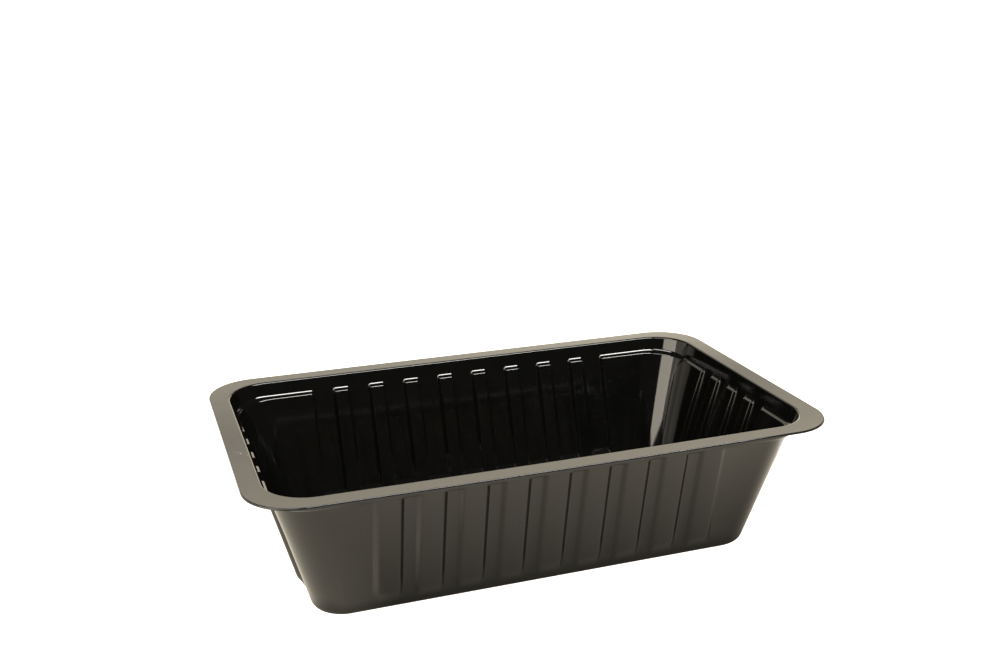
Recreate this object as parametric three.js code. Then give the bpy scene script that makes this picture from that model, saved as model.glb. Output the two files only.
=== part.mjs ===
// A black thermoformed food tray: one thin plastic sheet drawn into a deep box with leaning, ribbed walls,
// a narrow ledge under the rim and a flat sealing flange all round.
// Millimetres, +Z up. The tray stands on z = 0, centred on the Z axis, with its long sides along X.
import * as THREE from 'three';

// Driving dimensions
const FLANGE_LENGTH = 250; // along X, edge to edge
const FLANGE_WIDTH = 149.5; // along Y, edge to edge at the corners
const TRAY_HEIGHT = 63.2; // underside of the base to the top of the flange
const SHEET = 0.6; // thickness of the formed sheet
const FLANGE_CORNER_RADIUS = 21.5;
const RADIUS_LOST_PER_INSET = 0.35; // corners tighten by this much for each millimetre further in
const WALL_INSET = 8; // flange edge to the outer face of the walls, run up to the flange top
const WALL_SLOPE = 0.266; // the walls lean in by this much for each millimetre down
const SLOPE_DIFFERENCE = 0.013; // the short walls lean this much more, the long walls this much less
const LIP_RADIUS = 1.9; // bend from flange to wall, on the upper face
const BASE_RADIUS = 5.1; // bend from wall to base, on the lower face
const RIB_RELIEF = 1.85; // how far the ribs stand out from the panels between them
const PANEL_WIDTH = 8.2; // width of a panel where its flanks meet the ribs, on the upper face
const FLANK_RUN = 0.9; // width of a rib's sloping flank, along the wall
const LONG_RIBS = 9; // ribs on each long wall
const LONG_PITCH = 17.4;
const SHORT_RIBS = 4; // ribs on each short wall
const SHORT_PITCH = 15.6;
const LEDGE_TOP = 6.3; // depth at which the wall starts to bend into the ledge over a panel
const LEDGE_RADIUS = 0.9; // both bends of the ledge, on the upper face
const LEDGE_TILT = THREE.MathUtils.degToRad(15); // slope of the ledge between its bends
const RIB_END_TOP = 54; // depths between which a rib rounds off towards the base
const RIB_END_BOTTOM = 58.8;
const BOW = 0.6; // the long sides bulge out by this much at mid-length of the flange
const SAG = 0.2; // and dip by this much

// Facets in each bend of the profile, and in each rounded corner of the outline
const BEND_STEPS = 3;
const LEDGE_BEND_STEPS = 2;
const CORNER_STEPS = 6;

// The sheet's slope is given by its tilt: 0 where it lies flat, and this much where it forms a wall.
const WALL_TILT = Math.PI / 2 - Math.atan(WALL_SLOPE);
const FLANK_ANGLE = Math.atan2(RIB_RELIEF, FLANK_RUN);
const UPPER = 0;
const LOWER = 1;

// Inset of the wall's upper face along the ribs, at a depth below the flange top
const wallInset = (depth) => WALL_INSET + SHEET / Math.sin(WALL_TILT) + WALL_SLOPE * depth;

// Fractions from 0 to 1 in equal steps
const fractions = (steps) => Array.from({ length: steps + 1 }, (_, k) => k / steps);

// One row of the profile: where the upper face is along a rib and along a panel
const row = (depth, rib, panel = rib) => ({ depth, rib, panel });
const level = (inset, tilt) => ({ inset, tilt });

// The bend from the floor up into the walls. The ribs have ended above it.
function baseBendRows() {
  const radius = BASE_RADIUS - SHEET;
  const centreDepth = TRAY_HEIGHT - BASE_RADIUS;
  const wallDepth = centreDepth + radius * Math.cos(WALL_TILT);
  const centreInset = wallInset(wallDepth) + RIB_RELIEF + radius * Math.sin(WALL_TILT);
  return fractions(BEND_STEPS).map((part) => {
    const tilt = part * WALL_TILT;
    const inset = centreInset - radius * Math.sin(tilt);
    return row(centreDepth + radius * Math.cos(tilt), level(inset, tilt));
  });
}

// The rounded lower ends of the ribs: a quarter ellipse from the panels out to the ribs' full relief
function ribEndRows() {
  return fractions(BEND_STEPS).map((part) => {
    const turn = (1 - part) * Math.PI / 2;
    const depth = RIB_END_TOP + (RIB_END_BOTTOM - RIB_END_TOP) * Math.sin(turn);
    const rib = wallInset(depth) + RIB_RELIEF * (1 - Math.cos(turn));
    return row(depth, level(rib, WALL_TILT), level(wallInset(depth) + RIB_RELIEF, WALL_TILT));
  });
}

// The ledge at the head of each panel: two bends with a short slope between them. The ribs run on past it.
function ledgeRows() {
  const bendInset = (tilt) => LEDGE_RADIUS * (Math.sin(WALL_TILT) - Math.sin(tilt));
  const bendDepth = (tilt) => LEDGE_RADIUS * (Math.cos(tilt) - Math.cos(WALL_TILT));
  const fullInset = bendInset(LEDGE_TILT);
  const fullDepth = bendDepth(LEDGE_TILT);
  const gainPerSlope = Math.cos(LEDGE_TILT) - WALL_SLOPE * Math.sin(LEDGE_TILT);
  const slope = (RIB_RELIEF - 2 * (fullInset - WALL_SLOPE * fullDepth)) / gainPerSlope;
  const wholeInset = 2 * fullInset + slope * Math.cos(LEDGE_TILT);
  const wholeDepth = 2 * fullDepth + slope * Math.sin(LEDGE_TILT);
  const start = wallInset(LEDGE_TOP);
  const ledgeRow = (inset, drop, tilt) => {
    const depth = LEDGE_TOP + drop;
    return row(depth, level(wallInset(depth), WALL_TILT), level(start + inset, tilt));
  };
  const tilts = fractions(LEDGE_BEND_STEPS).map((part) => WALL_TILT + part * (LEDGE_TILT - WALL_TILT));
  const lowerBend = tilts.map((tilt) =>
    ledgeRow(wholeInset - bendInset(tilt), wholeDepth - bendDepth(tilt), tilt));
  const upperBend = tilts.map((tilt) => ledgeRow(bendInset(tilt), bendDepth(tilt), tilt));
  return [...lowerBend, ...upperBend.reverse()];
}

// The bend from the walls out into the flange, and the flange's edge
function rimRows() {
  const wallDepth = LIP_RADIUS * (1 - Math.cos(WALL_TILT));
  const centreInset = wallInset(wallDepth) - LIP_RADIUS * Math.sin(WALL_TILT);
  const bend = fractions(BEND_STEPS).map((part) => {
    const tilt = (1 - part) * WALL_TILT;
    return row(LIP_RADIUS * (1 - Math.cos(tilt)), level(centreInset + LIP_RADIUS * Math.sin(tilt), tilt));
  });
  return [...bend, row(0, level(0, 0))];
}

// Places along one straight wall where its ribs start and end. On the lower face the ribs are wider.
function wallStations(quarter, ribs, pitch, face) {
  const halfRib = (pitch - PANEL_WIDTH) / 2 + face * SHEET * Math.tan(FLANK_ANGLE / 2);
  const stations = [];
  for (let k = 0; k < ribs; k += 1) {
    const centre = (k - (ribs - 1) / 2) * pitch;
    stations.push({ quarter, along: centre - halfRib - FLANK_RUN, onRib: false });
    stations.push({ quarter, along: centre - halfRib, onRib: true });
    stations.push({ quarter, along: centre + halfRib, onRib: true });
    stations.push({ quarter, along: centre + halfRib + FLANK_RUN, onRib: false });
  }
  return stations;
}

// The whole outline, anticlockwise from the +X wall: each wall, then the corner after it
function outlineStations(face) {
  const shortWall = [SHORT_RIBS, SHORT_PITCH];
  const longWall = [LONG_RIBS, LONG_PITCH];
  return [shortWall, longWall, shortWall, longWall].flatMap(([ribs, pitch], quarter) => [
    ...wallStations(quarter, ribs, pitch, face),
    ...fractions(CORNER_STEPS).map((turn) => ({ quarter, turn, onRib: false })),
  ]);
}

// A point of the outline at an inset from the flange edge and a depth below the flange top
function outlinePoint({ quarter, along, turn }, inset, depth) {
  const halfX = FLANGE_LENGTH / 2 - inset - SLOPE_DIFFERENCE * depth;
  const halfY = FLANGE_WIDTH / 2 - inset + SLOPE_DIFFERENCE * depth;
  const radius = FLANGE_CORNER_RADIUS - RADIUS_LOST_PER_INSET * inset;
  const quarterTurn = quarter * Math.PI / 2;
  const half = quarter % 2 ? [halfY, halfX] : [halfX, halfY];
  const point = new THREE.Vector2();
  if (turn === undefined) {
    point.set(half[0], along);
  } else {
    const angle = turn * Math.PI / 2;
    point.set(half[0] - radius + radius * Math.cos(angle), half[1] - radius + radius * Math.sin(angle));
  }
  point.rotateAround(new THREE.Vector2(), quarterTurn);
  const middle = (1 - (2 * point.x / FLANGE_LENGTH) ** 2) * (1 - depth / TRAY_HEIGHT) ** 2;
  const across = 2 * point.y / FLANGE_WIDTH;
  return [
    point.x,
    point.y + BOW * middle * across,
    TRAY_HEIGHT - depth - SAG * middle * across ** 2,
  ];
}

// One ring of points round the tray, on the upper or the lower face of the sheet
function ring({ depth, rib, panel }, face) {
  return outlineStations(face).map((station) => {
    const { inset, tilt } = station.onRib ? rib : panel;
    const shift = face * SHEET;
    return outlinePoint(station, inset - shift * Math.sin(tilt), depth + shift * Math.cos(tilt));
  });
}

// A closed skin over a stack of rings, with a middle point closing each end
function skin(rings, firstMiddle, lastMiddle) {
  const count = rings[0].length;
  const points = [firstMiddle, ...rings.flat(), lastMiddle];
  const last = points.length - 1;
  const at = (k, i) => 1 + k * count + i % count;
  const faces = [];
  for (let i = 0; i < count; i += 1) {
    faces.push(0, at(0, i), at(0, i + 1));
    for (let k = 0; k + 1 < rings.length; k += 1) {
      faces.push(at(k, i), at(k + 1, i), at(k + 1, i + 1));
      faces.push(at(k, i), at(k + 1, i + 1), at(k, i + 1));
    }
    faces.push(at(rings.length - 1, i), last, at(rings.length - 1, i + 1));
  }
  const geometry = new THREE.BufferGeometry();
  geometry.setAttribute('position', new THREE.Float32BufferAttribute(points.flat(), 3));
  geometry.setIndex(faces);
  geometry.computeVertexNormals();
  return geometry;
}

// The sheet from the middle of the floor up the inside, over the flange and down the outside to the base
function traySheet() {
  const rows = [...baseBendRows(), ...ribEndRows(), ...ledgeRows(), ...rimRows()];
  const upper = rows.map((each) => ring(each, UPPER));
  const lower = rows.map((each) => ring(each, LOWER)).reverse();
  return skin([...upper, ...lower], [0, 0, SHEET], [0, 0, 0]);
}

const blackPlastic = new THREE.MeshStandardMaterial({ color: 0x1c1b19, roughness: 0.3, metalness: 0 });
const tray = new THREE.Mesh(traySheet(), blackPlastic);
tray.name = 'tray';

const group = new THREE.Group();
group.add(tray);

export default group;
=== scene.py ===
# %% [markdown]
# # A black plastic food tray
# The tray is one sheet of black plastic, heated and drawn into a mould, with a flat flange left round
# the top for a sealing film. This lesson builds it as one surface worked out with numpy, gives it the
# gloss of formed plastic and lights it as a product on a white table.
#
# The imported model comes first. It is the fixed frame: it sets the tray's size and place, and everything
# below is worked out in the same coordinates, with the tray standing on z = 0. The tray's sizes are
# written in millimetres and turned into Blender's metres where its mesh is made.

# %% Load the frame
import bpy
import numpy as np
from mathutils import Matrix, Vector


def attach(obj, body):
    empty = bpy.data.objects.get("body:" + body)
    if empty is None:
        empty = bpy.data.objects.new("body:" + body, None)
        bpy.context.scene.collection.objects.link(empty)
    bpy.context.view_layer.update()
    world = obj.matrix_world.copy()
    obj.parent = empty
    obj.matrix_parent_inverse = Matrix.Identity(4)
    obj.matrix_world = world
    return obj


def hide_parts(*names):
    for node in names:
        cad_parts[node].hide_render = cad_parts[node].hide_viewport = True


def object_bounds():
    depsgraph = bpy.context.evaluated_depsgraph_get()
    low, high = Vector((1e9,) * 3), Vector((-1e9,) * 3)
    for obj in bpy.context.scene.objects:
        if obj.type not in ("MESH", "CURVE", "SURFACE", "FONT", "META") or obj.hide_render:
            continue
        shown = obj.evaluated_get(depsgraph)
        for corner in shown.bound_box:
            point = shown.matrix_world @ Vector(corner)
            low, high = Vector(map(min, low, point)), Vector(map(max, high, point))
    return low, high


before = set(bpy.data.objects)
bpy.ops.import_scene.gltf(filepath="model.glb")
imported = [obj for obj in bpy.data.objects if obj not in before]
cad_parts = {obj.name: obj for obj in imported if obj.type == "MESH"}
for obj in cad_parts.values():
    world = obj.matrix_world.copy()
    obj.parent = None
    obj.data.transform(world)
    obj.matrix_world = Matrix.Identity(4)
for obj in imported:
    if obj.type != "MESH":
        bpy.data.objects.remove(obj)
cad_low, cad_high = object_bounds()
MM = 0.001
box_length, box_width, box_height = [side / MM for side in cad_high - cad_low]
print(f"frame box {box_length:.1f} x {box_width:.1f} x {box_height:.1f} mm")

# %% [markdown]
# ## The sheet's profile
# Cut the tray across a wall and the sheet shows as a line: floor, bend, leaning wall, small ledge, band,
# lip and flange. A sweep could carry that line round the rim, but the ribs change it from place to place.
# So the line is kept as five numbers for each row: how deep the row lies, how far in a rib is there,
# how much further in a panel is, how much of the rib is left, and whether the row belongs to the ledge,
# which lies lower on the short walls. Each place round the rim then mixes its own section.

# %% The wall, in millimetres
BOW = 0.6
SHEET = 0.6
FLANGE_LENGTH = box_length
FLANGE_WIDTH = box_width - 2 * BOW
TRAY_HEIGHT = box_height
WALL_INSET = 8.0
WALL_SLOPE = 0.266
WALL_TILT = np.pi / 2 - np.arctan(WALL_SLOPE)


def wall_inset(depth):
    """Upper face of a rib: the outer face, a sheet's thickness in, leaning in as it goes down."""
    return WALL_INSET + SHEET / np.sin(WALL_TILT) + WALL_SLOPE * depth


def smooth(share):
    """An S from nothing to one: three times the square less twice the cube, level at both ends."""
    share = np.clip(share, 0, 1)
    return share ** 2 * (3 - 2 * share)


print(f"walls lean {90 - np.degrees(WALL_TILT):.1f} degrees")

# %% The ledge
LEDGE_RELIEF = 1.95
LEDGE_TOP = 5.45
LEDGE_COVE, LEDGE_NOSE = 2.0, 0.7
LEDGE_TILT = np.radians(15)
COVE_ROWS, NOSE_ROWS = 9, 7


def ledge_bend(radius, count):
    """How far in and down an arc from the wall's tilt to the ledge's has gone, point by point."""
    tilt = np.linspace(WALL_TILT, LEDGE_TILT, count)
    inwards = radius * (np.sin(WALL_TILT) - np.sin(tilt))
    return inwards, radius * (np.cos(tilt) - np.cos(WALL_TILT))


def ledge_line():
    """Depth and relief from the nose up to the band: an arc, a straight slope and an arc the other way.

    The slope is as long as it takes for the whole step to reach the ledge's relief.
    """
    cove_in, cove_down = ledge_bend(LEDGE_COVE, COVE_ROWS)
    nose_in, nose_down = ledge_bend(LEDGE_NOSE, NOSE_ROWS)
    both_in = cove_in[-1] + nose_in[-1]
    both_down = cove_down[-1] + nose_down[-1]
    gain = np.cos(LEDGE_TILT) - WALL_SLOPE * np.sin(LEDGE_TILT)
    slope = (LEDGE_RELIEF - both_in + WALL_SLOPE * both_down) / gain
    whole_in = both_in + slope * np.cos(LEDGE_TILT)
    whole_down = both_down + slope * np.sin(LEDGE_TILT)
    inwards = np.r_[whole_in - nose_in, cove_in[::-1]]
    down = np.r_[whole_down - nose_down, cove_down[::-1]]
    return LEDGE_TOP + down, inwards - WALL_SLOPE * down


ledge_depth, ledge_relief = ledge_line()
print(f"ledge from {ledge_depth[-1]:.2f} to {ledge_depth[0]:.2f} mm deep")

# %% The lip
LIP_RADIUS, LIP_FOOT_RADIUS = 1.15, 0.55
LIP_BREAK = np.radians(40)
LIP_ROWS = 10


def lip_line():
    """Depth and inset from the band up to the flange: a tight arc off the wall, then a wider one over."""
    tilt = np.linspace(WALL_TILT, 0, LIP_ROWS)
    over = np.minimum(tilt, LIP_BREAK)
    run = LIP_RADIUS * np.sin(over) + LIP_FOOT_RADIUS * (np.sin(tilt) - np.sin(over))
    depth = LIP_RADIUS * (1 - np.cos(over)) + LIP_FOOT_RADIUS * (np.cos(over) - np.cos(tilt))
    return depth, wall_inset(depth[0]) - run[0] + run


lip_depth, lip_inset = lip_line()
print(f"lip {lip_depth[0]:.2f} mm deep, flange {lip_inset[-1]:.2f} mm wide")

# %% Rows of the profile, from the floor's rim up to the flange
BASE_RADIUS = 5.1
RIB_RELIEF = 1.85
RIB_END_TOP, RIB_END_BOTTOM = 52.5, 59.2
LEDGE_FADE = 26.0
EDGE_RADIUS, BURR_RADIUS = 0.25, 0.06
EDGE_TURN = np.radians(66)
CUT_DEPTH = 0.8
CUT_HEIGHT = CUT_DEPTH - BURR_RADIUS - EDGE_RADIUS * (1 - np.cos(EDGE_TURN))
EDGE_INSET = EDGE_RADIUS * np.sin(EDGE_TURN) + CUT_HEIGHT / np.tan(EDGE_TURN)
BASE_ROWS, RIB_END_ROWS = 8, 9
# Rows this far beside a bend keep the flat stretch next to it flat in the shading.
BEND_MARGIN, EDGE_MARGIN, RIB_MARGIN, FADE_MARGIN = 0.4, 0.2, 0.5, 2.0


def profile_rows():
    """Columns depth, inset, relief, rib, ledge: the base bend is an arc, and lines join the bends.

    The inset is that of a rib. A panel lies further in by the relief, which is greatest under the ledge,
    and a rib joins the panel where its share falls to nothing.
    """
    base_tilt = np.linspace(0, WALL_TILT, BASE_ROWS)
    inner_radius = BASE_RADIUS - SHEET
    base_depth = TRAY_HEIGHT - BASE_RADIUS + inner_radius * np.cos(base_tilt)
    base_run = inner_radius * (np.sin(WALL_TILT) - np.sin(base_tilt))
    base_inset = wall_inset(base_depth[-1]) + base_run

    end_share = np.linspace(1, 0, RIB_END_ROWS)
    end_depth = RIB_END_TOP + (RIB_END_BOTTOM - RIB_END_TOP) * end_share
    wall_depth = np.array([RIB_END_TOP - RIB_MARGIN, LEDGE_FADE + FADE_MARGIN, LEDGE_FADE])

    under_depth = ledge_depth[0] + BEND_MARGIN
    faded = BEND_MARGIN / (LEDGE_FADE - ledge_depth[0])
    under_relief = LEDGE_RELIEF + (RIB_RELIEF - LEDGE_RELIEF) * faded

    band_depth = np.array([LEDGE_TOP - BEND_MARGIN, lip_depth[0] + BEND_MARGIN])
    start = lip_inset[-1]
    flange_inset = [start - BEND_MARGIN, start / 2, EDGE_INSET + EDGE_MARGIN, EDGE_INSET]

    def rows(depth, inset, relief=0, rib=0, ledge=0):
        return np.stack(np.broadcast_arrays(depth, inset, relief, rib, ledge), axis=1)

    return np.concatenate([
        rows(base_depth, base_inset, RIB_RELIEF),
        rows(end_depth, wall_inset(end_depth), RIB_RELIEF, 1 - smooth(end_share)),
        rows(wall_depth, wall_inset(wall_depth), RIB_RELIEF, 1),
        rows([under_depth], wall_inset(under_depth), under_relief, 1, 1),
        rows(ledge_depth, wall_inset(ledge_depth), ledge_relief, 1, 1),
        rows(band_depth, wall_inset(band_depth), ledge=[1, 0]),
        rows(lip_depth, lip_inset),
        rows(0.0, flange_inset),
    ])


profile = profile_rows()
print(f"{len(profile)} rows, from {profile[0, 0]:.1f} mm deep to the flange")

# %% [markdown]
# ## Round the rim
# Seen from above, every row is a rectangle with round corners. Going round it, the wall alternates between
# ribs, which stand out, and panels, which are pushed in. A rib's flank is not a sharp step: the sheet
# bends off the rib in one arc and onto the panel in another. Those arcs are where the tray catches its
# thin dark and bright lines, so the places round the rim are packed close together there.

# %% A rib's flank
FLANK_RUN = 0.9
FLANK_ANGLE = np.arctan2(RIB_RELIEF, FLANK_RUN)
RIB_BEND, PANEL_BEND = 0.9, 0.6
SOFT_REACH = 1.5
BEND_PLACES = 6


def flank_places():
    """Columns along, rib, soft rib, measured from mid-flank.

    On the inside the sheet runs through an arc off the rib, a straight slope and an arc onto the panel.
    On the outside it bridges the corners, so the soft rib falls off as a smooth S over a longer reach.
    """
    turn = np.linspace(0, FLANK_ANGLE, BEND_PLACES)
    off_along = RIB_BEND * np.sin(turn)
    off_drop = RIB_BEND * (1 - np.cos(turn))
    onto_along = PANEL_BEND * np.sin(turn)
    onto_drop = PANEL_BEND * (1 - np.cos(turn))
    straight = (RIB_RELIEF - off_drop[-1] - onto_drop[-1]) / np.sin(FLANK_ANGLE)
    whole = off_along[-1] + straight * np.cos(FLANK_ANGLE) + onto_along[-1]
    along = np.r_[-RIB_MARGIN, off_along, (whole - onto_along)[::-1], whole + RIB_MARGIN] - whole / 2
    drop = np.r_[0, off_drop, (RIB_RELIEF - onto_drop)[::-1], RIB_RELIEF]
    soft_rib = 1 - smooth((along + SOFT_REACH) / (2 * SOFT_REACH))
    return np.stack([along, 1 - drop / RIB_RELIEF, soft_rib], axis=1)


flank = flank_places()
print(f"a flank has {len(flank)} places over {np.ptp(flank[:, 0]):.2f} mm")

# %% Places round the rim
LONG_RIBS, LONG_PITCH = 9, 17.4
SHORT_RIBS, SHORT_PITCH = 4, 15.6
PANEL_WIDTH = 8.2
CORNER_PLACES = 21
QUARTER, CORNER, ALONG, TURN, RIB, SOFT_RIB, SHORT = range(7)


def wall_places(ribs, pitch):
    """Columns along, rib, soft rib: two flanks mirrored about a rib's middle, repeated at the pitch."""
    half_rib = (pitch - PANEL_WIDTH + FLANK_RUN) / 2
    right = flank + [half_rib, 0, 0]
    left = right[::-1] * [-1, 1, 1]
    one = np.concatenate([left, right])
    centres = (np.arange(ribs) - (ribs - 1) / 2) * pitch
    return np.concatenate([one + [centre, 0, 0] for centre in centres])


def rim_places():
    """Columns quarter, corner, along, turn, rib, soft rib, short wall.

    They run anticlockwise from the +X wall, each wall followed by its corner. The last column is one on a
    short wall and nothing on a long one, and each corner leads smoothly from one to the other.
    """
    turn = np.linspace(0, np.pi / 2, CORNER_PLACES)
    passed = smooth(turn / turn[-1])
    parts = []
    for quarter in range(4):
        is_long = quarter % 2
        count, pitch = (LONG_RIBS, LONG_PITCH) if is_long else (SHORT_RIBS, SHORT_PITCH)
        along, rib, soft_rib = wall_places(count, pitch).T
        corner_short = passed if is_long else 1 - passed
        wall = np.broadcast_arrays(quarter, 0, along, 0, rib, soft_rib, 1 - is_long)
        corner = np.broadcast_arrays(quarter, 1, 0, turn, 0, 0, corner_short)
        parts += [np.stack(wall, axis=1), np.stack(corner, axis=1)]
    return np.concatenate(parts)


places = rim_places()
print(f"{len(places)} places round the rim")

# %% [markdown]
# ## The sheet itself
# A row and a place give one point of the upper face. The lower face is the same surface with its rib
# flanks softened, moved by the sheet's thickness along its own normal. A Solidify modifier would make two
# equal faces, but a real sheet is crisper inside than outside, so each face is worked out here. At the
# flange's rim the knife has rounded the top of the cut and pulled its foot down into a fine burr.

# %% The outline at a depth
SAG = 0.2
SLOPE_DIFFERENCE = 0.013
FLANGE_CORNER_RADIUS = 21.5
RADIUS_LOST_PER_INSET = 0.35
RIB_SHIFT = -1.3


def outline(inset, depth):
    """A rectangle with round corners, moved in by the inset; the long sides bulge and dip at mid-length.

    Corner radius shrinks in step with the inset. Walls keep their place along the side; corners turn about
    their own centre. A quarter turn for each wall brings all four into place. The long walls' places stand
    to one side at the rim, less and less towards the base.
    """
    quarter, corner, along, turn = places.T[[QUARTER, CORNER, ALONG, TURN]]
    angle = quarter * np.pi / 2
    up_the_wall = 1 - depth / TRAY_HEIGHT
    along = along - RIB_SHIFT * np.sin(angle) * up_the_wall
    half_x = FLANGE_LENGTH / 2 - inset - SLOPE_DIFFERENCE * depth
    half_y = FLANGE_WIDTH / 2 - inset + SLOPE_DIFFERENCE * depth
    radius = FLANGE_CORNER_RADIUS - RADIUS_LOST_PER_INSET * inset
    ahead = np.where(quarter % 2, half_y, half_x)
    aside = np.where(quarter % 2, half_x, half_y)
    first = np.where(corner, ahead - radius + radius * np.cos(turn), ahead)
    second = np.where(corner, aside - radius + radius * np.sin(turn), along)
    x = first * np.cos(angle) - second * np.sin(angle)
    y = first * np.sin(angle) + second * np.cos(angle)
    middle = (1 - (2 * x / FLANGE_LENGTH) ** 2) * up_the_wall ** 2
    across = 2 * y / FLANGE_WIDTH
    z = TRAY_HEIGHT - depth - SAG * middle * across ** 2
    return np.stack([x, y + BOW * middle * across, z], axis=-1)


print(f"base corners turn at {FLANGE_CORNER_RADIUS - RADIUS_LOST_PER_INSET * profile[0, 1]:.1f} mm")

# %% Points of the upper and lower face
SHORT_LEDGE_DROP = 0.9
SHORT_LEDGE_LOSS = 0.25


def wall_face(rib_here):
    """Inset = rib's inset + relief x (1 - rib here x rib left at this depth), for every row and place.

    On the short walls the ledge's rows lie further down the wall's slope, and their relief is less.
    """
    depth, inset, relief, rib_left, ledge = profile.T[:, :, None]
    short_ledge = ledge * places[:, SHORT]
    lowered = SHORT_LEDGE_DROP * short_ledge
    further_in = relief * (1 - SHORT_LEDGE_LOSS * short_ledge) * (1 - rib_here * rib_left)
    return outline(inset + WALL_SLOPE * lowered + further_in, depth + lowered)


def normals(points):
    """Cross product of the two grid directions, each taken between a point's neighbours."""
    around = np.roll(points, -1, axis=1) - np.roll(points, 1, axis=1)
    along = np.gradient(points, axis=0)
    normal = np.cross(around, along)
    return normal / np.linalg.norm(normal, axis=-1, keepdims=True)


upper = wall_face(places[:, RIB])
soft = wall_face(places[:, SOFT_RIB])
up = normals(soft)
up = up * np.sign(up[-1, 0, 2])
lower = soft - SHEET * up
lowest = lower[..., 2].min()
print(f"upper face {upper.shape[0]} x {upper.shape[1]} points, lowest point {lowest:.3f} mm")

# %% The flange's cut edge
EDGE_ROWS = 5


def cut_edge():
    """An arc over the top, the cut, which is straight and leans out, and a tight arc under it."""
    share = np.linspace(1 / EDGE_ROWS, 1, EDGE_ROWS)[:, None]
    over = EDGE_TURN * share
    under = np.pi / 2 * share[::-1]
    return np.concatenate([
        outline(EDGE_INSET - EDGE_RADIUS * np.sin(over), EDGE_RADIUS * (1 - np.cos(over))),
        outline(BURR_RADIUS * (1 - np.sin(under)), CUT_DEPTH - BURR_RADIUS * (1 - np.cos(under))),
    ])


edge = cut_edge()
print(f"cut {CUT_HEIGHT:.2f} mm high in {len(edge)} rows")

# %% [markdown]
# ## Closing the mesh
# The rows run from the middle of the floor up the inside, over the flange and down the outside to the
# middle of the base. Rings that shrink towards the middle fill both floors, and a fan of triangles closes
# each centre, so the sheet is one closed skin. Its faces are told apart by row: the inside, the outside
# and the cut each get a finish of their own.

# %% All rings, from the floor's middle to the base's
FLOOR_SHARES = np.array([0.5, 0.97])


def floor_rings(rim):
    """Copies of a flat ring, each shrunk towards the middle by its share."""
    level = rim * np.array([1, 1, 0])
    return level * FLOOR_SHARES[:, None, None] + rim * np.array([0, 0, 1])


def grid_faces(rows, columns):
    """Quads between neighbouring rows and places, with the last place joined to the first."""
    row, column = np.meshgrid(np.arange(rows - 1), np.arange(columns), indexing="ij")
    following = (column + 1) % columns
    corners = [row * columns + column, (row + 1) * columns + column]
    corners += [(row + 1) * columns + following, row * columns + following]
    return np.stack(corners, axis=-1).reshape(-1, 4)


rings = np.concatenate([
    floor_rings(upper[0]), upper, edge, lower[::-1], floor_rings(lower[0])[::-1],
])
print(f"{len(rings)} rings of {rings.shape[1]} points")

# %% The tray's mesh
INSIDE, OUTSIDE, CUT = 0, 1, 2


def tray_faces(rows, columns):
    """A fan round the floor's middle, the grid's quads, and a fan round the base's middle."""
    floor_middle = rows * columns
    base_middle = floor_middle + 1
    last_ring = floor_middle - columns
    here = np.arange(columns)
    following = (here + 1) % columns
    floor_fan = [np.full(columns, floor_middle), here, following]
    base_fan = [last_ring + here, np.full(columns, base_middle), last_ring + following]
    quads = grid_faces(rows, columns).tolist()
    return [*np.stack(floor_fan, axis=1).tolist(), *quads, *np.stack(base_fan, axis=1).tolist()]


def face_finishes(rows, columns):
    """Which finish each face has: the rows are the same up and down, so the cut is in the middle."""
    row = np.repeat(np.arange(rows - 1), columns)
    cut_start = rows // 2 - 1
    cut_end = cut_start + EDGE_ROWS
    finish = np.select([row < cut_start, row < cut_end], [INSIDE, CUT], OUTSIDE)
    return np.r_[np.full(columns, INSIDE), finish, np.full(columns, OUTSIDE)].astype(np.int32)


def tray_mesh():
    """The rings' points and the two middles, with the faces between them."""
    rows, columns, _ = rings.shape
    middles = np.array([[0, 0, SHEET], [0, 0, 0]])
    points = np.concatenate([rings.reshape(-1, 3), middles]) * MM
    mesh = bpy.data.meshes.new("tray_sheet")
    mesh.from_pydata(points.tolist(), [], tray_faces(rows, columns))
    mesh.polygons.foreach_set("use_smooth", np.ones(len(mesh.polygons), dtype=bool))
    mesh.polygons.foreach_set("material_index", face_finishes(rows, columns))
    mesh.update()
    return mesh


tray = bpy.data.objects.new("tray_sheet", tray_mesh())
bpy.context.collection.objects.link(tray)
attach(tray, "root")
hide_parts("tray")
print(f"tray mesh {len(tray.data.vertices)} points, {len(tray.data.polygons)} faces")

# %% [markdown]
# ## Formed polypropylene
# The sheet is polypropylene coloured through with carbon black. Its inside cooled in air and came out
# glossy. Its outside lay against a mould that is blasted so that air can get away, which leaves it satin.
# The knife's cut is dull. An image of real scratches could be laid on, but noise of a known size needs no
# picture and fits any shape. One function makes all three finishes, with the same swells, streaks and
# marks, and only the range of dullness differs.


# %% Colours and nodes
def linear(hex_colour):
    """sRGB hex to linear RGBA."""
    srgb = np.array([int(hex_colour[k:k + 2], 16) for k in (1, 3, 5)]) / 255
    values = np.where(srgb <= 0.04045, srgb / 12.92, ((srgb + 0.055) / 1.055) ** 2.4)
    return (*values.tolist(), 1.0)


def add(tree, kind, settings=None, links=None):
    """Adds a node, sets it and links it; keys are property names, or names or numbers of inputs."""
    node = tree.nodes.new(kind)
    for key, value in (settings or {}).items():
        if isinstance(key, int) or key in node.inputs:
            node.inputs[key].default_value = value
        else:
            setattr(node, key, value)
    for key, output in (links or {}).items():
        tree.links.new(output, node.inputs[key])
    return node


def new_material(name):
    """An empty material, its node tree, and the place on the object that its patterns go by."""
    material = bpy.data.materials.new(name)
    material.use_nodes = True
    tree = material.node_tree
    tree.nodes.clear()
    return material, tree, add(tree, "ShaderNodeTexCoord").outputs["Object"]


print(f"middle grey #808080 is {linear('#808080')[0]:.3f} in linear light")

# %% Nicks in the flange
NICK_GREY = linear("#8f8a82")
NICK_FADE = {"From Min": 1, "From Max": 0.3}
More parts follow.
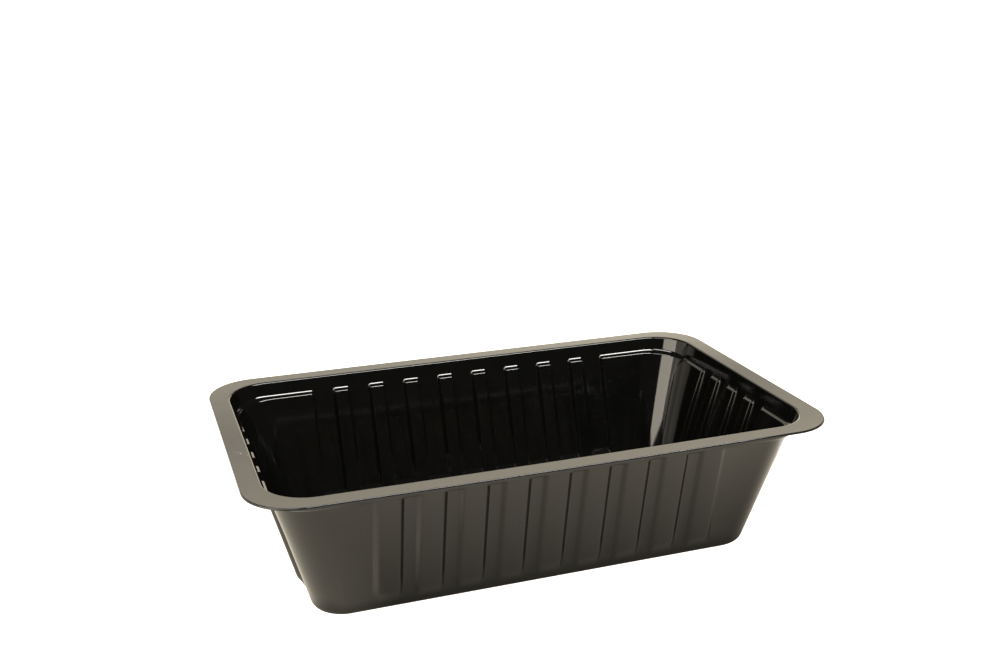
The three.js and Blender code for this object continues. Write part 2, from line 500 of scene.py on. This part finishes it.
# Each nick, in millimetres: middle x and y, turn in degrees, half length, half width, how white it is.
NICKS = [
    (-120.8, -14.6, -50, 4.2, 0.3, 0.12),
    (-119.8, -15.8, 20, 0.55, 0.4, 0.6),
    (-117.3, -18.8, 0, 0.4, 0.35, 0.5),
]


def nick_share(tree, place, x, y, turn, half_length, half_width, white):
    """An ellipse on the flange, full in its middle and gone at its edge."""
    nick = add(tree, "ShaderNodeMapping", {
        "vector_type": "TEXTURE", "Location": (x * MM, y * MM, TRAY_HEIGHT * MM),
        "Rotation": (0, 0, np.radians(turn)), "Scale": (half_length * MM, half_width * MM, 1),
    }, {"Vector": place}).outputs["Vector"]
    off = add(tree, "ShaderNodeVectorMath", {"operation": "LENGTH"}, {0: nick}).outputs["Value"]
    fade = {**NICK_FADE, "To Max": white}
    return add(tree, "ShaderNodeMapRange", fade, {"Value": off}).outputs["Result"]


print(f"{len(NICKS)} nicks")

# %% The plastic
DEEP_BLACK, PALE_BLACK = linear("#030303"), linear("#060605")
SCUFF_GREY = linear("#2e2c28")
POLYPROPYLENE_IOR = 1.49
GLOSS = {"To Min": 0.05, "To Max": 0.11}
SATIN = {"To Min": 0.15, "To Max": 0.2}
DULL = {"To Min": 0.27, "To Max": 0.33}
UNEVEN_SIZE = 11 * MM
UNEVEN_HEIGHT = 0.02 * MM
STREAK_SIZE = Vector((2.2, 2.2, 45)) * MM
SCUFF_SIZE = Vector((9, 0.9, 100)) * MM
SCUFF_TURN = (0, 0, np.radians(12))
SCUFF_SHARE = {"From Min": 0.66, "From Max": 0.92}
SCUFF_DEPTH = 0.5
FLANGE_LEVEL = (TRAY_HEIGHT - SCUFF_DEPTH) * MM


def formed_polypropylene(name, dullness):
    """Black polypropylene with the marks that forming and stacking left, as dull as the range says."""
    material, tree, place = new_material(name)
    # The sheet is never quite flat: swells about a centimetre across bend the reflections a little.
    swells = {"Scale": 1 / UNEVEN_SIZE, "Detail": 1}
    height = add(tree, "ShaderNodeTexNoise", swells, {"Vector": place}).outputs["Fac"]
    relief = {"Strength": 1, "Distance": UNEVEN_HEIGHT}
    bump = add(tree, "ShaderNodeBump", relief, {"Height": height})
    blacks = {"data_type": "RGBA", 6: DEEP_BLACK, 7: PALE_BLACK}
    colour = add(tree, "ShaderNodeMix", blacks, {0: height}).outputs[2]
    # Drawing the hot sheet down leaves upright streaks, seen as slightly duller and clearer gloss.
    drawn = {"Scale": [1 / side for side in STREAK_SIZE]}
    streaked = add(tree, "ShaderNodeMapping", drawn, {"Vector": place}).outputs["Vector"]
    streaks = add(tree, "ShaderNodeTexNoise", {"Scale": 1, "Detail": 2}, {"Vector": streaked})
    finish = add(tree, "ShaderNodeMapRange", dullness, {"Value": streaks.outputs["Fac"]})
    # Stacked trays rub on one another's flange: a few grey scuffs, coarser than the real hairlines.
    rubbed = {"Rotation": SCUFF_TURN, "Scale": [1 / side for side in SCUFF_SIZE]}
    across = add(tree, "ShaderNodeMapping", rubbed, {"Vector": place}).outputs["Vector"]
    rubs = add(tree, "ShaderNodeTexNoise", {"Scale": 1, "Detail": 1}, {"Vector": across}).outputs["Fac"]
    scuffs = add(tree, "ShaderNodeMapRange", SCUFF_SHARE, {"Value": rubs}).outputs["Result"]
    level = add(tree, "ShaderNodeSeparateXYZ", links={"Vector": place}).outputs["Z"]
    above = {"operation": "GREATER_THAN", 1: FLANGE_LEVEL}
    flange = add(tree, "ShaderNodeMath", above, {0: level}).outputs["Value"]
    marks = add(tree, "ShaderNodeMath", {"operation": "MULTIPLY"}, {0: scuffs, 1: flange})
    scuffed = {"data_type": "RGBA", 7: SCUFF_GREY}
    colour = add(tree, "ShaderNodeMix", scuffed, {0: marks.outputs["Value"], 6: colour}).outputs[2]
    # Where the flange was knocked, the plastic is stretched and turns white.
    whitened = {"data_type": "RGBA", 7: NICK_GREY}
    for nick in NICKS:
        share = nick_share(tree, place, *nick)
        colour = add(tree, "ShaderNodeMix", whitened, {0: share, 6: colour}).outputs[2]
    shader = add(tree, "ShaderNodeBsdfPrincipled", {"IOR": POLYPROPYLENE_IOR}, {
        "Base Color": colour,
        "Roughness": finish.outputs["Result"],
        "Normal": bump.outputs["Normal"],
    })
    add(tree, "ShaderNodeOutputMaterial", links={"Surface": shader.outputs["BSDF"]})
    return material


finishes = {
    # Cooled in air: a black mirror, with almost no colour of its own, only what it mirrors.
    INSIDE: formed_polypropylene("glossy_formed_polypropylene", GLOSS),
    # Pressed on a blasted mould: the same mirror with a haze over it, so its lines are soft.
    OUTSIDE: formed_polypropylene("satin_moulded_polypropylene", SATIN),
    # Sheared by a knife: a dull dark line under the flange's edge.
    CUT: formed_polypropylene("knife_cut_polypropylene", DULL),
}
for side in sorted(finishes):
    tray.data.materials.append(finishes[side])
print(f"swells {UNEVEN_SIZE / MM:.0f} mm across, streaks {STREAK_SIZE.x / MM:.1f} mm wide")

# %% [markdown]
# ## A light table
# A black glossy thing shows mostly what stands round it, so the studio is part of the look. The tray
# stands on a pale translucent table lit from below as well as above, which keeps the ground white right up
# to the tray's foot. A pale backdrop behind is what the flange mirrors, each side of it at a height of its
# own; its glow is painted light, in bands that brighten and dim by height and stronger towards its right.
# The table is a plain sheet; the backdrop is an arc and an upright line carried sideways.

# %% Table and backdrop, in metres
TABLE_REACH = 12.0
BACKDROP_LEFT, BACKDROP_RIGHT = -0.32, 1.25
BACKDROP_BEHIND = 1.3
BACKDROP_TOP = 1.1
BACKDROP_BEND = 0.3
BACKDROP_LIFT = 0.0005
BACKDROP_STEPS, SHEET_STEPS = 13, 9


def stage_piece(name, grid, faces):
    """A piece of the studio, from a grid of points and the faces between them."""
    mesh = bpy.data.meshes.new(name)
    mesh.from_pydata(grid.reshape(-1, 3).tolist(), [], faces.tolist())
    mesh.polygons.foreach_set("use_smooth", np.ones(len(faces), dtype=bool))
    piece = bpy.data.objects.new(name, mesh)
    bpy.context.collection.objects.link(piece)
    return piece


def studio_sheet(name, section, left, right):
    """A section of (y, z) points carried straight from left to right: only x changes on the way."""
    across = np.linspace(left, right, SHEET_STEPS)
    grid = np.empty((len(section), len(across), 3))
    grid[..., 0] = across
    grid[..., 1:] = np.asarray(section)[:, None, :]
    rows, columns, _ = grid.shape
    row, column = np.meshgrid(np.arange(rows - 1), np.arange(columns - 1), indexing="ij")
    first = row * columns + column
    corners = [first, first + 1, first + columns + 1, first + columns]
    return stage_piece(name, grid, np.stack(corners, axis=-1).reshape(-1, 4))


def backdrop_section():
    """A quarter circle from the table up to the upright, then a straight line to the top."""
    turn = np.linspace(0, np.pi / 2, BACKDROP_STEPS)
    bend_y = BACKDROP_BEHIND - BACKDROP_BEND + BACKDROP_BEND * np.sin(turn)
    bend_z = BACKDROP_BEND * (1 - np.cos(turn))
    y = np.r_[bend_y, BACKDROP_BEHIND]
    z = np.r_[bend_z, BACKDROP_TOP] + BACKDROP_LIFT
    return np.stack([y, z], axis=1)


table_section = [(-TABLE_REACH, 0.0), (TABLE_REACH, 0.0)]
table = studio_sheet("table", table_section, -TABLE_REACH, TABLE_REACH)
backdrop = studio_sheet("backdrop", backdrop_section(), BACKDROP_LEFT, BACKDROP_RIGHT)
print(f"backdrop {BACKDROP_TOP} m high, {BACKDROP_BEHIND} m behind the tray")

# %% Pale translucent acrylic
WARM_WHITE, TABLE_WHITE = "#fff2d6", "#fffaf2"
TABLE_GREY, BACKDROP_GREY = "#98938a", "#8a8884"
MATT = 0.9
TABLE_STRENGTH = 1.5
EVEN_GLOW = 0.56
# The backdrop's glow is painted light: more at its foot and right, then bands that brighten and dim.
FOOT_GLOW = {"From Min": 0.42, "From Max": 0.58, "To Min": 0.69, "To Max": 0.0}
FOOT_SIDE = {"From Min": 0.25, "From Max": 0.7, "To Min": 0.9, "To Max": 2.3}
UPPER_GLOWS = [
    {"From Min": 0.58, "From Max": 0.755, "To Max": 1.12},
    {"From Min": 0.76, "From Max": 0.8, "To Max": -1.42},
    {"From Min": 0.97, "From Max": 1.02, "To Max": 0.6},
]


def lit_sheet(name, colour, glow_colour, strength=0.0, glow=None):
    """Matt sheet with light coming through it; glow adds nodes that give the strength place by place."""
    material, tree, place = new_material(name)
    shader = add(tree, "ShaderNodeBsdfPrincipled", {
        "Base Color": linear(colour), "Roughness": MATT, "Specular IOR Level": 0,
        "Emission Color": linear(glow_colour), "Emission Strength": strength,
    }, {"Emission Strength": glow(tree, place)} if glow else None)
    add(tree, "ShaderNodeOutputMaterial", links={"Surface": shader.outputs["BSDF"]})
    return material


def painted_backdrop_light(tree, place):
    """Painted light: even, with more at the foot and most at its right; higher it brightens, dims,
    brightens.
    """
    along = add(tree, "ShaderNodeSeparateXYZ", links={"Vector": place}).outputs
    foot = add(tree, "ShaderNodeMapRange", FOOT_GLOW, {"Value": along["Z"]}).outputs["Result"]
    side = add(tree, "ShaderNodeMapRange", FOOT_SIDE, {"Value": along["X"]}).outputs["Result"]
    with_even = {"operation": "MULTIPLY_ADD", 2: EVEN_GLOW}
    glow = add(tree, "ShaderNodeMath", with_even, {0: foot, 1: side}).outputs["Value"]
    for step in UPPER_GLOWS:
        more = add(tree, "ShaderNodeMapRange", step, {"Value": along["Z"]}).outputs["Result"]
        glow = add(tree, "ShaderNodeMath", {"operation": "ADD"}, {0: glow, 1: more}).outputs["Value"]
    return glow


# Cast acrylic, sanded matt: an even white ground, and a soft warm grey with painted light for the gloss to
# mirror.
table.data.materials.append(
    lit_sheet("translucent_acrylic_table", TABLE_GREY, TABLE_WHITE, TABLE_STRENGTH)
)
backdrop.data.materials.append(
    lit_sheet("acrylic_backdrop_painted_light", BACKDROP_GREY, WARM_WHITE, glow=painted_backdrop_light)
)
print(f"table glows at {TABLE_STRENGTH}, backdrop from {EVEN_GLOW}")

# %% [markdown]
# ## A card of painted shade round the foot
# The walls lean out, so they mirror the ground close by. On a real table that ground lies in the tray's
# own shade. A light table has none, so a flat card takes its place, with that shade painted on it: dark
# along the tray's foot and paler further out. It lies just above the table and shows in reflections
# alone, so the ground itself stays white.

# %% The card: its sizes in millimetres, the places of its glow in metres
SHADE_CARD_BLACK, SHADE_CARD_WHITE = "#000000", "#fff4dd"
CARD_TUCK, CARD_REACH = -4.0, 75.0
CARD_ROWS = 16
CARD_CLEARANCE = 0.2
# Painted shade along the foot; painted light further out and at the left.
FOOT_SHADE = {"From Min": -0.002, "From Max": 0.007, "To Min": 0.05, "To Max": 1.0}
OPEN_GLOW = {"From Min": 0.007, "From Max": 0.075, "To Min": 0.54, "To Max": 1.84}
LEFT_GLOW = {"From Min": -0.088, "From Max": -0.058, "To Min": 1.42, "To Max": 0.2}


def painted_shade_card():
    """A flat ring: the foot's outline, moved out in equal steps from under the base bend to the reach."""
    away = np.linspace(CARD_TUCK, CARD_REACH, CARD_ROWS)[:, None]
    foot_inset = wall_inset(TRAY_HEIGHT) + RIB_RELIEF
    grid = outline(foot_inset - away, TRAY_HEIGHT) + [0, 0, CARD_CLEARANCE]
    card = stage_piece("painted_shade_card", grid * MM, grid_faces(*grid.shape[:2]))
    from_foot = card.data.attributes.new("from_foot", "FLOAT", "POINT")
    distance = np.broadcast_to(away * MM, grid.shape[:2])
    from_foot.data.foreach_set("value", distance.ravel().astype(np.float32))
    card.visible_camera = False
    card.visible_diffuse = False
    card.visible_shadow = False
    return card


def painted_ground_glow(tree, place):
    """Painted light and shade: rises evenly off the foot, pale at the left, shaded under the base bend."""
    away = add(tree, "ShaderNodeAttribute", {"attribute_name": "from_foot"}).outputs["Fac"]
    beyond = add(tree, "ShaderNodeMapRange", OPEN_GLOW, {"Value": away}).outputs["Result"]
    along = add(tree, "ShaderNodeSeparateXYZ", links={"Vector": place}).outputs["X"]
    left = add(tree, "ShaderNodeMapRange", LEFT_GLOW, {"Value": along}).outputs["Result"]
    glow = add(tree, "ShaderNodeMath", {"operation": "MAXIMUM"}, {0: beyond, 1: left}).outputs["Value"]
    shade = add(tree, "ShaderNodeMapRange", FOOT_SHADE, {"Value": away}).outputs["Result"]
    return add(tree, "ShaderNodeMath", {"operation": "MULTIPLY"}, {0: glow, 1: shade}).outputs["Value"]


card = painted_shade_card()
# Painted shade on a glowing card: only its glow is seen, as grey that deepens to the foot of the walls.
card.data.materials.append(
    lit_sheet("painted_ground_shade_card", SHADE_CARD_BLACK, SHADE_CARD_WHITE, glow=painted_ground_glow)
)
print(f"card reaches {CARD_REACH:.0f} mm out from the foot")

# %% [markdown]
# ## Softboxes
# Four soft lights stand round the tray, and each is there for the lines that it draws in the gloss. One
# high at the front right runs along the ledges and the flange's edge, and one high at the left rounds off
# their ends. One low at the left is the pale strip in the far right corner, and a dim card beside it the
# second strip. The rest of the room is dark, so the inside stays black. An area light facing the tray is
# enough for each. Its radiance is what matters in a mirror, so the power is worked out from that and from
# its area.

# %% Where a light stands
TRAY_MIDDLE = Vector((0, 0, 0.04))


def facing_tray(azimuth, elevation, distance, along=None):
    """A place at an azimuth from +Y towards +X and an elevation, both in degrees, turned to the tray.

    Its own x runs along the given direction, or level if there is none.
    """
    direction = Vector((
        np.sin(np.radians(azimuth)) * np.cos(np.radians(elevation)),
        np.cos(np.radians(azimuth)) * np.cos(np.radians(elevation)),
        np.sin(np.radians(elevation)),
    ))
    across = Vector(along or (-direction.y, direction.x, 0))
    across = (across - across.dot(direction) * direction).normalized()
    turn = Matrix((across, direction.cross(across), direction)).transposed()
    return Matrix.Translation(TRAY_MIDDLE + distance * direction) @ turn.to_4x4()


print(f"lights face a point {TRAY_MIDDLE.z / MM:.0f} mm above the table")

# %% Four soft lights
NEUTRAL_LIGHT, WARM_LIGHT = "#fffdf8", "#fff6e4"
RADIANCE_TO_POWER = 4.0


def softbox(name, place, width, height, radiance, colour):
    """An area light of a size and radiance, out of the camera's sight."""
    light = bpy.data.lights.new(name, "AREA")
    light.shape = "RECTANGLE"
    light.size = width
    light.size_y = height
    light.color = linear(colour)[:3]
    light.energy = RADIANCE_TO_POWER * radiance * width * height
    box = bpy.data.objects.new(name, light)
    box.matrix_world = place
    box.visible_camera = False
    bpy.context.collection.objects.link(box)
    print(f"{name}: {light.energy:.0f} W at {[round(value, 2) for value in box.location]}")


softbox(
    "high_softbox", facing_tray(azimuth=148, elevation=57, distance=2.0, along=(1, 0, 0)),
    width=1.1, height=0.72, radiance=28, colour=NEUTRAL_LIGHT,
)
softbox(
    "left_high_softbox", facing_tray(azimuth=-130, elevation=54, distance=1.8),
    width=1.6, height=0.75, radiance=10, colour=NEUTRAL_LIGHT,
)
softbox(
    "left_low_softbox", facing_tray(azimuth=-109, elevation=15, distance=1.6),
    width=1.25, height=0.58, radiance=5.2, colour=WARM_LIGHT,
)
softbox(
    "left_card", facing_tray(azimuth=-66, elevation=14, distance=1.6),
    width=1.1, height=0.68, radiance=0.9, colour=WARM_LIGHT,
)

# %% The dark room
ROOM_STRENGTH = 0.04
world = bpy.data.worlds.new("dark_studio")
world.use_nodes = True
background = world.node_tree.nodes["Background"].inputs
background["Color"].default_value = linear(WARM_LIGHT)
background["Strength"].default_value = ROOM_STRENGTH
bpy.context.scene.world = world
bpy.context.scene.view_settings.view_transform = "Standard"
print(f"room light {ROOM_STRENGTH}")

# %% [markdown]
# ## The camera
# The camera stands where the photograph's did: to the left of the tray's front, looking down by about
# seventeen degrees. It could be aimed with a Track To constraint, but the picture is also rolled by half a
# degree, so its matrix is put together from its own three directions.

# %% The camera
PICTURE_WIDTH_PX = 1000
FOCAL_LENGTH_PX = 1185.93
SENSOR_WIDTH = 36
CAMERA_AZIMUTH = np.radians(19.045)
CAMERA_TILT = np.radians(17.322)
CAMERA_ROLL = np.radians(0.593)
CAMERA_PLACE = Vector((-164.8, -468.2, 250.7)) * MM


def camera_matrix():
    """Looks along the azimuth, tilted down, then rolled about its own line of sight."""
    ahead = Vector((
        np.sin(CAMERA_AZIMUTH) * np.cos(CAMERA_TILT),
        np.cos(CAMERA_AZIMUTH) * np.cos(CAMERA_TILT),
        -np.sin(CAMERA_TILT),
    ))
    level = ahead.cross(Vector((0, 0, 1))).normalized()
    down = ahead.cross(level)
    right = np.cos(CAMERA_ROLL) * level + np.sin(CAMERA_ROLL) * down
    below = -np.sin(CAMERA_ROLL) * level + np.cos(CAMERA_ROLL) * down
    turn = Matrix((right, -below, -ahead)).transposed()
    return Matrix.Translation(CAMERA_PLACE) @ turn.to_4x4()


camera = bpy.data.objects.new("camera", bpy.data.cameras.new("camera"))
camera.data.sensor_width = SENSOR_WIDTH
camera.data.lens = FOCAL_LENGTH_PX * SENSOR_WIDTH / PICTURE_WIDTH_PX
camera.matrix_world = camera_matrix()
bpy.context.collection.objects.link(camera)
bpy.context.scene.camera = camera
print(f"camera lens {camera.data.lens:.2f} mm")
